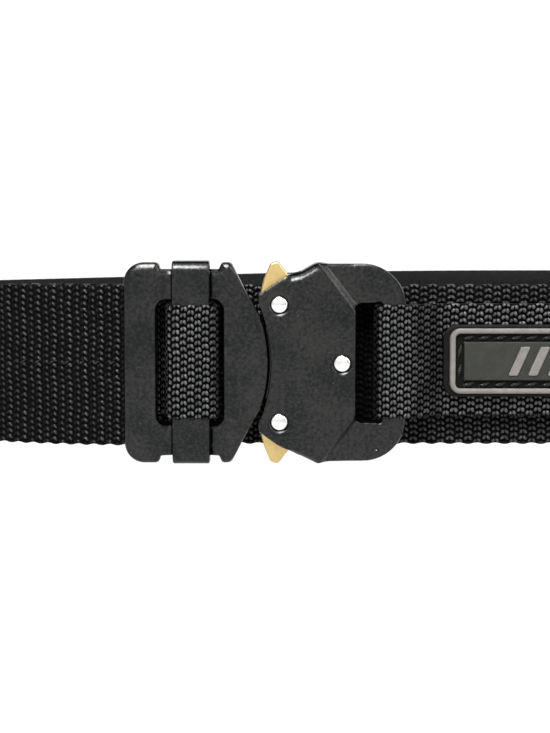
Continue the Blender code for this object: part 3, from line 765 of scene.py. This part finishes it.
def relief_plate(name, loops, front, back, guides, place_at, worn=True):
    """A plate in one closed mesh: its outline and holes, and the heights of its two faces.

    loops are (outline, front edge, back edge), the outer one first. An edge is its radius, or a pair
    of its width and a function that gives its drop from distance, a and b. front and back give
    heights at (a, b); place_at turns (a, b, height) into the belt's x, y and z.
    """
    widths = [max(edge[0] if isinstance(edge, tuple) else edge for edge in edges) for _, *edges in loops]
    outlines = [turned_left(loop, 1 if index == 0 else -1) for index, (loop, _, _) in enumerate(loops)]
    flat, triangles = triangulated(plate_points(outlines, widths, guides), outlines)
    far = [distance_to(flat, loop) for loop in outlines]
    a, b = flat.T

    def dropped(side):
        drops = [loop[side][1](d, a, b) if isinstance(loop[side], tuple) else rim(d, loop[side])
                 for d, loop in zip(far, loops)]
        return np.max(drops, axis=0)

    top, bottom = front(a, b) - dropped(1), back(a, b) + dropped(2)
    count = len(flat)
    sides = np.concatenate((triangles[:, [0, 1]], triangles[:, [1, 2]], triangles[:, [2, 0]]))
    keys = {tuple(side) for side in sides.tolist()}
    walls = [(i, j) for i, j in keys if (j, i) not in keys]
    faces = triangles.tolist() + (triangles[:, ::-1] + count).tolist()
    faces += [(j, i, i + count, j + count) for i, j in sorted(walls)]
    places = place_at(np.tile(a, 2), np.tile(b, 2), np.concatenate((top, bottom)))
    mesh = add_mesh(name, *places, faces)
    near = np.minimum(np.min(far, axis=0), FAR_INSET) if worn else np.full(count, FAR_INSET)
    # sunk is the depth below the front's highest point, which the rubber darkens as painted shade; inset
    # is the distance from the nearest edge, up to FAR_INSET.
    mark(mesh, sunk=np.concatenate((top.max() - top, np.zeros(count))), inset=np.tile(near, 2))
    return outward(mesh)


def outward(mesh):
    """Turns a closed mesh's faces outwards and keeps its sharp edges sharp."""
    shell = bmesh.new()
    shell.from_mesh(mesh)
    bmesh.ops.recalc_face_normals(shell, faces=shell.faces)
    if shell.calc_volume(signed=True) < 0:
        bmesh.ops.reverse_faces(shell, faces=shell.faces)
    shell.to_mesh(mesh)
    shell.free()
    mesh.set_sharp_from_angle(angle=42.0 * TURN)
    return mesh


def level(height):
    """A flat face for relief_plate."""
    return lambda a, b: np.full_like(a, height)


def facing(mid_y, mid_z, side=-1.0, mid_x=0.0):
    """Places (a, b, height) upright: a along X, b above mid_z, height towards the viewer or away."""
    def place_at(a, b, height):
        return mid_x + a, mid_y + side * height, mid_z + b
    return place_at


def turned_mesh(name, profile, place_at):
    """A profile of (radius, height), from the axis to the axis, turned about the height."""
    angles = np.arange(RIVET_SIDES) * 2 * math.pi / RIVET_SIDES
    places = [(radius * math.cos(angle), radius * math.sin(angle), height)
              for radius, height in profile[1:-1] for angle in angles]
    last, pole = len(places) - RIVET_SIDES, len(places)
    faces = tube_faces(len(profile) - 2, RIVET_SIDES)[:-2]
    for i in range(RIVET_SIDES):
        j = (i + 1) % RIVET_SIDES
        faces += [(pole, i, j), (last + j, last + i, pole + 1)]
    places += [(0.0, 0.0, height) for _, height in (profile[0], profile[-1])]
    return outward(add_mesh(name, *place_at(*np.array(places).T), faces))


# The buckle, from the same sizes as its CAD pieces

MALE_HALF_HEIGHT, NOTCH_FLOOR = 23.45, 21.85
NOTCH_LEFT, NOTCH_RIGHT = -24.5, -10.8
BAR_LEFT, BAR_RIGHT = -21.7, -13.0
MALE_FRAME_UPPER = (
    (-32.9, MALE_HALF_HEIGHT, 4.6),
    (-24.9, MALE_HALF_HEIGHT, 1.1),
    (NOTCH_LEFT, NOTCH_FLOOR, 0.5),
    (NOTCH_RIGHT, NOTCH_FLOOR, 0.5),
    (-10.1, MALE_HALF_HEIGHT, 0.9),
    (-7.9, MALE_HALF_HEIGHT, 1.0),
    (-4.7, 17.0, 12.0),
)
MALE_SLOT_LEFT, MALE_SLOT_RIGHT, MALE_SLOT_HALF = -25.3, -9.95, 14.4
NOSE_RADIUS, NOSE_X, NOSE_HALF, TONGUE_HALF = 34.0, 1.0, 9.4, 8.6
TONGUE_UPPER = (
    (7.6, TONGUE_HALF, 0.8),
    (7.9, 5.9, 0.8),
    (10.75, 5.9, 0.3),
    (12.2, 7.6, 0.4),
    (13.2, 7.6, 0.6),
    (14.6, 5.6, 1.0),
)
PLATE_UPPER = (
    (-1.5, 16.0, 0.8),
    (2.9, 19.1, 4.0),
    (5.6, 20.7, 3.0),
    (8.0, 21.2, 3.0),
    (12.0, 23.5, 3.0),
    (15.0, 23.1, 3.0),
)
PLATE_LOWER = PLATE_UPPER[:2] + PLATE_UPPER[4:]
LOOP_X, LOOP_Z, LOOP_RADIUS = 22.9, 13.1, 10.0
MOUTH_RADIUS, MOUTH_X, MOUTH_HALF = 34.6, 1.35, 14.2
FEMALE_SLOT_UPPER = ((21.2, 13.9, 1.6), (27.2, 13.9, 0.5))
CREST_TOP, CREST_END = np.array((10.1, 26.0)), np.array((20.9, 11.8))
POCKET_EDGE = ((15.2, 0.0), (15.2, 13.5), (8.6, 19.0), (7.2, 32.0))
LEVER_OUTER = (
    (-1.6, 14.2, 0.5),
    (-0.35, 19.4, 6.0),
    (1.25, 23.25, 0.8),
    (2.95, 23.75, 0.8),
    (5.2, 20.9, 1.5),
    (7.4, 15.6, 2.0),
    (9.6, 11.9, 1.0),
)
LEVER_INNER = (
    (8.4, 6.4, 0.3),
    (8.3, 9.2, 0.6),
    (0.4, 10.2, 1.5),
)
HOOK_RADIUS, HOOK_LOW, HOOK_HIGH = 10.4, 6.4, 9.9
LEVER_HALF_THICKNESS = 2.2
SINK_RADIUS, SINK_DEPTH, SINK_HOLE = 2.12, 1.2, 1.7
SINK_DISH, SINK_CURVE = 1.0, 1.5
RIVETS = (("upper", PIVOT_X, PIVOT_HALF), ("middle", 17.9, 0.0), ("lower", PIVOT_X, -PIVOT_HALF))


def build_male_frame(finish):
    """Heights are measured forwards from the buckle's middle plane."""
    face, rail, tongue, rear, nose_edge = 3.1, 1.7, 2.0, -2.1, 0.7
    edge, crown, crown_radius, back_edge, slot_radius, guide_reach = 0.3, 2.2, 3.2, 0.7, 2.0, 25.0
    tip, shoulder = (math.asin(half / NOSE_RADIUS) / TURN for half in (TONGUE_HALF, NOSE_HALF))
    centre = NOSE_X - NOSE_RADIUS
    upper = list(MALE_FRAME_UPPER) + arc(centre, 0, NOSE_RADIUS, shoulder, tip, 2) + list(TONGUE_UPPER)
    outline = rounded(both_halves(upper))
    slot = rounded(rectangle(MALE_SLOT_LEFT, MALE_SLOT_RIGHT, MALE_SLOT_HALF, slot_radius))
    gentle, steep, early = 3.0, 0.25, 0.7
    bar_left, bar_right = BAR_LEFT, BAR_RIGHT + 0.1

    def front(a, b):
        past = np.minimum(a - NOTCH_LEFT + early, NOTCH_RIGHT + early - a) / gentle
        beside = np.minimum(a - bar_left + steep, bar_right + steep - a) / steep
        recess = (face - rail) * (0.55 * smooth_step(past) + 0.45 * smooth_step(beside))
        nose = ledge(np.hypot(a - centre, b) - NOSE_RADIUS, face - tongue, nose_edge)
        return face - np.maximum(recess, nose)

    def outer_edge(distance, a, b):
        crowned = 1 - smooth_step((a + 9.0) / 4.0)
        return rim(distance, edge) + crowned * rim(distance, crown, crown_radius)

    def back(a, b):
        return rear + ledge(np.hypot(a - centre, b) - NOSE_RADIUS, 0.1, 0.05)

    starts = ((NOTCH_LEFT - early, gentle), (bar_left - steep, steep),
              (NOTCH_RIGHT + early, -gentle), (bar_right + steep, -steep))
    guides = [divided(np.array([(x + run * share, -guide_reach), (x + run * share, guide_reach)]), 0.6)
              for x, run in starts for share in (0.0, 0.15, 0.3, 0.5, 0.7, 0.85, 1.0)]
    guides.append(guide(np.array(arc(centre, 0, NOSE_RADIUS, 16.5, -16.5, 39))[:, :2], nose_edge))
    loops = [(outline, (crown, outer_edge), back_edge), (slot, 0.8, 0.4)]
    mesh = relief_plate("male_frame_finished", loops, front, back, guides,
                        facing(BUCKLE_MID_Y, BUCKLE_MID_Z))
    place(mesh, finish, "male_frame")


def build_friction_bar(finish):
    """A clip over the notched rails, drawn from the side: Y, then height above the buckle's middle."""
    front, back, inner = -7.3, -2.9, 22.15
    thickness, half_height, return_half, edge = 1.6, 23.8, 19.0, 0.4
    upper = (
        (front - thickness, half_height, 2.5),
        (back + thickness, half_height, 1.2),
        (back + thickness, return_half, 0.5),
        (back, return_half, 0.5),
        (back, inner, 0.25),
        (front, inner, 0.25),
    )

    def place_at(a, b, height):
        return height, a, BUCKLE_MID_Z + b

    mesh = relief_plate("friction_bar_finished", [(rounded(both_halves(upper)), edge, edge)],
                        level(BAR_RIGHT), level(BAR_LEFT), [], place_at, worn=False)
    place(mesh, finish, "friction_bar")


def build_female_plate(finish, word, side):
    """One plate; its heights are measured outwards from the buckle's middle plane."""
    raised, lowered, seam, pocket, pocket_wall = 4.6, 2.3, 0.15, 2.8, 0.15
    edge, crown, crown_radius, back_edge = 0.55, 2.4, 2.42, 0.12
    mouth = math.asin(MOUTH_HALF / MOUTH_RADIUS) / TURN
    loop_end = arc(LOOP_X, LOOP_Z, LOOP_RADIUS, 90, 0, 14)
    lower = [(x, -z, radius) for x, z, radius in reversed(list(PLATE_LOWER) + loop_end)]
    outline = rounded(list(PLATE_UPPER) + loop_end + lower
                      + arc(MOUTH_X - MOUTH_RADIUS, 0, MOUTH_RADIUS, -mouth, mouth, 40))
    holes = [(circle(x, z, SINK_HOLE), 0.0, 0.1) for _, x, z in RIVETS]
    along = (CREST_END - CREST_TOP) / np.hypot(*(CREST_END - CREST_TOP))
    slope, steep_share, gentle = 1.6, 0.7, 5.0
    mark_x, mark_z, mark_radius, mark_depth = 26.0, -20.1, 0.6, 0.3

    def past_crest(a, b):
        slanted = (a - CREST_TOP[0]) * -along[1] + (np.abs(b) - CREST_TOP[1]) * along[0]
        return np.maximum(slanted, a - CREST_END[0])

    def front(a, b):
        past = past_crest(a, b)
        down = steep_share * ramp(past / slope) + (1 - steep_share) * smooth_step((past - slope) / gentle)
        hollow = 1 - ((a - mark_x) ** 2 + (b - mark_z) ** 2) / mark_radius ** 2
        away = np.min([np.hypot(a - x, b - z) for _, x, z in RIVETS], axis=0)
        return (raised - down * (raised - lowered) - mark_depth * np.clip(hollow, 0, 1)
                - ledge(SINK_RADIUS - away, SINK_DEPTH, SINK_DISH, SINK_CURVE))

    def outer_edge(distance, a, b):
        wide = smooth_step((a - 4.8) / 1.6) * (1 - smooth_step((past_crest(a, b) + 1.0) / 1.6))
        return (1 - wide) * rim(distance, edge) + wide * rim(distance, crown, crown_radius)

    def back(a, b):
        edge_x, edge_z = zip(*POCKET_EDGE)
        beyond = (np.interp(np.abs(b), edge_z, edge_x) - a) / pocket_wall
        return seam + (pocket - seam) * np.clip(beyond, 0.0, 1.0)

    guides = []
    for half in ((1.0, 1.0), (1.0, -1.0)):
        line = divided(np.array([CREST_TOP * half, CREST_END * half]), 0.45)
        guides += [shifted(line, half[1] * slope * share)
                   for share in (-0.2, 0.0, 0.1, 0.2, 0.5, 0.8, 0.9, 1.0, 1.2)]
        wall = divided(np.array(POCKET_EDGE[::-1]) * half, 0.6)
        guides += [wall, wall - (pocket_wall, 0.0)]
    guides += [circle(mark_x, mark_z, mark_radius * share) for share in (0.35, 0.7, 1.0)]
    guides += [circle(x, z, SINK_RADIUS - SINK_DISH * row) for _, x, z in RIVETS for row in LEDGE_ROWS]
    guides += [circle(x, z, SINK_RADIUS - LEDGE_RUN) for _, x, z in RIVETS]
    slot = rounded(both_halves(FEMALE_SLOT_UPPER))
    loops = [(outline, (crown, outer_edge), back_edge), (slot, 0.8, back_edge)]
    mesh = relief_plate(f"female_{word}_finished", loops + holes, front, back, guides,
                        facing(BUCKLE_MID_Y, BUCKLE_MID_Z, side))
    place(mesh, finish, f"female_{word}_plate")


def build_rivets(finish):
    """Heads with a low dome, undercut so that they stand free of the plates; both ends are alike."""
    top, neck, head, shaft, dome, dome_angle, cap_share = 4.68, 3.7, 1.84, 1.4, 0.34, 0.9, 0.985
    cap = [(head * math.sin(angle) / math.sin(dome_angle) * cap_share,
            top - dome + dome * (math.cos(angle) - math.cos(dome_angle)) / (1 - math.cos(dome_angle)))
           for angle in np.linspace(0.0, dome_angle, 7)]
    half = cap + [(head, top - dome - 0.05), (head - 0.3, neck), (shaft, neck)]
    profile = half + [(radius, -height) for radius, height in reversed(half)]
    for word, x, z in RIVETS:
        at = facing(BUCKLE_MID_Y, BUCKLE_MID_Z + z, mid_x=x)
        mesh = turned_mesh(f"rivet_{word}_finished", profile, at)
        place(mesh, finish, f"rivet_{word}")


def build_lever(finish, word, side):
    """The upper lever, or its mirror image with side -1."""
    edge, hole, hole_edge = 0.45, 1.7, 0.2
    hook_low, hook_high = (math.asin((PIVOT_HALF - height) / HOOK_RADIUS) / TURN
                           for height in (HOOK_LOW, HOOK_HIGH))
    hook = arc(PIVOT_X, PIVOT_HALF, HOOK_RADIUS, -hook_high, -hook_low, 8)
    outline = rounded(list(LEVER_OUTER) + hook + list(LEVER_INNER)) * (1.0, side)
    loops = [(outline, edge, edge), (circle(PIVOT_X, PIVOT_HALF * side, hole), hole_edge, hole_edge)]
    mesh = relief_plate(f"lever_{word}_finished", loops, level(LEVER_HALF_THICKNESS),
                        level(-LEVER_HALF_THICKNESS), [], facing(BUCKLE_MID_Y, BUCKLE_MID_Z))
    place(mesh, finish, f"release_lever_{word}", f"lever_{word}")


# The patch

PATCH_LEFT, PATCH_RIGHT, PATCH_HALF = 41.8, 103.8, 8.5
PATCH_BACK, PATCH_FACE, BORDER_TOP = 4.0, 5.2, 6.6
FIELD_TOP, FIELD_FLOOR, FIELD_INSET, FIELD_HALF = 6.4, 5.5, 4.8, 4.5
BAR_COUNT, FIRST_BAR_X, BAR_STEP, BAR_BACK, BAR_TOP = 6, 58.4, 4.6, 6.35, 6.75

# Rings in the patch: inset from its ends, half height and corner radius
BASE_RING, BORDER_OUTER, BORDER_INNER = (0.0, PATCH_HALF, 3.4), (1.5, 7.65, 2.5), (2.8, 6.45, 1.2)
FIELD_RING = (2.75, 6.55, 1.2)


def patch_ring(inset, half, radius):
    return rounded(rectangle(PATCH_LEFT + inset, PATCH_RIGHT - inset, half, radius))


def build_patch(base_finish, border_finish, field_finish):
    """Heights are measured forwards from the web's outer face."""
    at, floor = facing(0.0, STRAP_MID_Z), level(PATCH_FACE + 0.01)
    mesh = relief_plate("patch_base_finished", [(patch_ring(*BASE_RING), 0.5, 0.15)],
                        level(PATCH_FACE), level(PATCH_BACK), [], at)
    place(mesh, base_finish, "patch_base")
    loops = [(patch_ring(*ring), 0.42, 0.0) for ring in (BORDER_OUTER, BORDER_INNER)]
    mesh = relief_plate("patch_border_finished", loops, level(BORDER_TOP), floor, [], at)
    place(mesh, border_finish, "patch_border")

    left, right, edge = PATCH_LEFT + FIELD_INSET, PATCH_RIGHT - FIELD_INSET, 0.2

    def front(a, b):
        beyond = np.maximum(np.maximum(left - a, a - right), np.abs(b) - FIELD_HALF)
        return FIELD_TOP - ledge(beyond, FIELD_TOP - FIELD_FLOOR, edge)

    corners = [(left, FIELD_HALF), (left, -FIELD_HALF), (right, -FIELD_HALF), (right, FIELD_HALF)]
    guides = [guide(ends, edge, -1.0) for ends in zip(corners, corners[1:] + corners[:1])]
    mesh = relief_plate("patch_field_finished", [(patch_ring(*FIELD_RING), 0.0, 0.0)], front, floor,
                        guides, at)
    place(mesh, field_finish, "patch_field")

    lean, wide, half, radius = 1.5, 2.2, 3.4, 0.3
    for number in range(BAR_COUNT):
        x = FIRST_BAR_X + number * BAR_STEP
        bar = rounded([(x + lean, half, radius), (x + lean + wide, half, radius),
                       (x - lean + wide, -half, radius), (x - lean, -half, radius)])
        name = f"patch_bar_{number + 1}"
        mesh = relief_plate(name, [(bar, 0.2, 0.0)], level(BAR_TOP), level(BAR_BACK), [], at)
        place(mesh, border_finish)


# Sewing

STITCH_RINGS, STITCH_SIDES = 9, 8


def stitch(middle, along, up, length, width, height):
    """Rings of places on one sunk thread stitch, a bent grain."""
    share = np.linspace(0.0, 1.0, STITCH_RINGS)[:, None, None]
    angle = np.arange(STITCH_SIDES)[:, None] * 2 * math.pi / STITCH_SIDES
    half_thick = width / 2 * np.sin(math.pi * (0.04 + 0.92 * share)) ** 0.6
    centre = middle + along * (share - 0.5) * length + up * height * (np.sin(math.pi * share) - 0.6)
    return centre + half_thick * (np.cross(along, up) * np.cos(angle) + up * np.sin(angle) * 0.8)


def sewn(name, rows, finish):
    """One piece of stitches; each row is middle, along, up, length, width and height."""
    places = np.array([stitch(*row) for row in rows]).reshape(-1, 3)
    faces = []
    for first in range(0, len(places), STITCH_RINGS * STITCH_SIDES):
        faces += [[first + corner for corner in face] for face in tube_faces(STITCH_RINGS, STITCH_SIDES)]
    place(outward(add_mesh(name, *places.T, faces)), finish)


def build_stitches(finish):
    """Stitches round the patch's field, along the web's middle, and at the female strap's end."""
    towards = np.array((0.0, -1.0, 0.0))
    lean, steep = (np.array((math.cos(angle * TURN), 0.0, math.sin(angle * TURN))) for angle in (13, 76))
    pitch, y, thick, end_inset = 3.7, -5.6, (0.95, 0.35), 3.8
    first, last = PATCH_LEFT + 5.9, PATCH_RIGHT - 5.0
    rows = [((first + number * pitch, y, STRAP_MID_Z + z), lean, towards, 3.1, *thick)
            for number in range(int((last - first) / pitch) + 1) for z in (5.5, -5.5)]
    rows += [((x, y, STRAP_MID_Z + z), steep, towards, 3.4, *thick)
             for x in (PATCH_LEFT + end_inset, PATCH_RIGHT - end_inset) for z in (2.3, -2.3)]
    sewn("patch_stitches", rows, finish)

    rows, sunk, size = [], 0.35, (1.6, 0.45, 0.3)
    route = route_by_turns(WEB_END_X, WEB_END_Y, math.pi, web_segments()[:1])
    for distance in np.arange(1.5, 33.0, pitch):
        x, y, heading = (np.interp(distance, route[:, 3], route[:, part]) for part in range(3))
        out = np.array((-math.sin(heading), math.cos(heading), 0.0))
        along = np.array((-math.cos(heading), -math.sin(heading), 0.55))
        rows.append(((x, y, WEB_LIFT + 19.6) - out * sunk, along / np.linalg.norm(along), out, *size))
    sewn("web_seam", rows, finish)

    along, size, across, step = np.array((0.35, 0.0, 0.94)), (1.7, 0.55, 0.25), 17, 1.45
    rows = [((x, -3.75, STRAP_MID_Z + (number - across // 2) * step), along, towards, *size)
            for x in (105.6, 107.2, 108.8, 110.4) for number in range(across)]
    sewn("strap_bar_tack", rows, finish)


# Studio

BUCKLE_MIDDLE = Vector(world(0.0, 0.0, BUCKLE_MID_Z))
CAMERA_PLACE = world(2.3, -419.0, 60.65)

# Name, radiance, width and height in metres, azimuth and elevation round the buckle (azimuth 0 is in
# front of it and 90 to its right), distance in metres, and the beam's spread, all angles in degrees
SOFTBOXES = (
    ("key", 38.0, 0.46, 0.5, -13.0, 52.0, 0.95, 75.0),
    ("fill", 1.15, 1.6, 1.2, -4.0, 31.0, 1.05, 180.0),
    ("overhead", 4.0, 1.3, 0.3, 0.0, 84.0, 0.95, 180.0),
    ("right", 3.4, 0.9, 0.7, 74.0, 24.0, 0.9, 180.0),
    ("left", 0.8, 0.8, 0.7, -68.0, 20.0, 0.9, 180.0),
)
WORLD_STRENGTH = 0.06
FLOOR_FRONT, WALL_Y, WALL_HEIGHT, WALL_RADIUS, FLOOR_HALF = -3.0, 2.9, 2.6, 0.6, 4.0
DOME_RADIUS = 9.0


def add_stage(name, shell, material):
    """Turns a bmesh into a smooth stage object."""
    mesh = bpy.data.meshes.new(name)
    shell.to_mesh(mesh)
    shell.free()
    mesh.shade_smooth()
    mesh.materials.append(material)
    piece = add_object(name, mesh)
    return piece


def build_stage():
    """A white floor that curves up into a back wall, and a white dome behind both that gives no light."""
    white = plain_floor()
    dome = bmesh.new()
    bmesh.ops.create_uvsphere(dome, u_segments=48, v_segments=24, radius=DOME_RADIUS)
    surround = add_stage("surround", dome, white)
    surround.visible_diffuse = surround.visible_glossy = surround.visible_transmission = False
    surround.visible_shadow = False
    shell = bmesh.new()
    foot = WALL_Y - WALL_RADIUS
    line = [(FLOOR_FRONT, 0.0), (foot, 0.0)]
    line += [(foot + WALL_RADIUS * math.sin(angle), WALL_RADIUS * (1 - math.cos(angle)))
             for angle in np.linspace(0.1, math.pi / 2, 14)]
    line.append((WALL_Y, WALL_HEIGHT))
    left, right = ([shell.verts.new((x, y, z)) for y, z in line] for x in (-FLOOR_HALF, FLOOR_HALF))
    for i in range(len(line) - 1):
        shell.faces.new((left[i], right[i], right[i + 1], left[i + 1]))
    add_stage("studio", shell, white)


def add_softbox(name, radiance, width, height, azimuth, elevation, distance, spread):
    """A rectangular light that faces the buckle."""
    light = bpy.data.lights.new(name, "AREA")
    light.shape = "RECTANGLE"
    light.size, light.size_y = width, height
    light.spread, half = spread * TURN, spread * TURN / 2
    light.energy = radiance * math.pi * width * height * (1 - half / math.tan(half))
    forward = math.cos(elevation * TURN)
    away = Vector((forward * math.sin(azimuth * TURN), -forward * math.cos(azimuth * TURN),
                   math.sin(elevation * TURN)))
    piece = add_object(name, light)
    piece.location = BUCKLE_MIDDLE + away * distance
    piece.rotation_euler = (-away).to_track_quat("-Z", "Y").to_euler()


def build_lights():
    for softbox in SOFTBOXES:
        add_softbox(*softbox)
    sky = bpy.data.worlds.new("studio")
    sky.use_nodes = True
    shade = sky.node_tree.nodes["Background"]
    shade.inputs["Color"].default_value = grey(1.0)
    shade.inputs["Strength"].default_value = WORLD_STRENGTH
    bpy.context.scene.world = sky


def build_camera():
    """The photograph's view: 1770 pixels of focal length in a 550 pixel wide frame, horizon at 204."""
    focal, frame_width, frame_middle, horizon = 1770.0, 550.0, 366.0, 204.0
    lens = bpy.data.cameras.new("camera")
    lens.sensor_fit = "HORIZONTAL"
    lens.sensor_width = 36.0
    lens.lens = lens.sensor_width * focal / frame_width
    lens.clip_start = 0.01
    camera = add_object("camera", lens)
    camera.location = CAMERA_PLACE
    camera.rotation_euler = (math.pi / 2 - math.atan((frame_middle - horizon) / focal), 0.0, 0.0)
    bpy.context.scene.camera = camera


bpy.context.scene.view_settings.view_transform = "Standard"
build_camera()
build_stage()
build_lights()
build_web(woven("black_webbing", WEB_LOBES, (0.012, 0.012, 0.0125, 1.0), grey(0.003),
                WEB_RELIEF, 0.26, 0.5))
strap_finish = woven("black_strap", STRAP_LOBES, (0.0205, 0.0213, 0.0213, 1.0), grey(0.0016),
                     STRAP_RELIEF, 0.28, 0.9)
build_strap("male_strap_woven", male_strap_corners(), ((17.0, 62.0),), ((0.0, 1.68), (1.0, 1.68)),
            strap_finish, "male_strap")
build_strap("female_strap_woven", FEMALE_STRAP_CORNERS, ((-5.0, 108.0),),
            ((0.0, 1.98), (77.0, 1.98), (80.0, 1.63), (90.0, 1.63)), strap_finish, "female_strap")
metal = black_metal()
build_male_frame(metal)
build_friction_bar(metal)
build_female_plate(metal, "front", -1.0)
build_female_plate(metal, "rear", 1.0)
build_rivets(bright_metal("polished_steel", (0.86, 0.86, 0.84, 1.0), (0.70, 0.70, 0.69, 1.0), 0.2, 0.002))
brass = bright_metal("satin_brass", (0.6, 0.445, 0.2, 1.0), (0.51, 0.37, 0.155, 1.0), 0.36, 0.004)
build_lever(brass, "upper", 1.0)
build_lever(brass, "lower", -1.0)
build_patch(rubber("dark_rubber", grey(0.004), grey(0.002), 0.1),
            rubber("light_rubber", (0.135, 0.1255, 0.119, 1.0), (0.108, 0.101, 0.095, 1.0), 0.3),
            rubber("olive_rubber", (0.0166, 0.0178, 0.0138, 1.0), (0.0124, 0.0133, 0.0102, 1.0), 0.26))
build_stitches(thread("black_thread"))
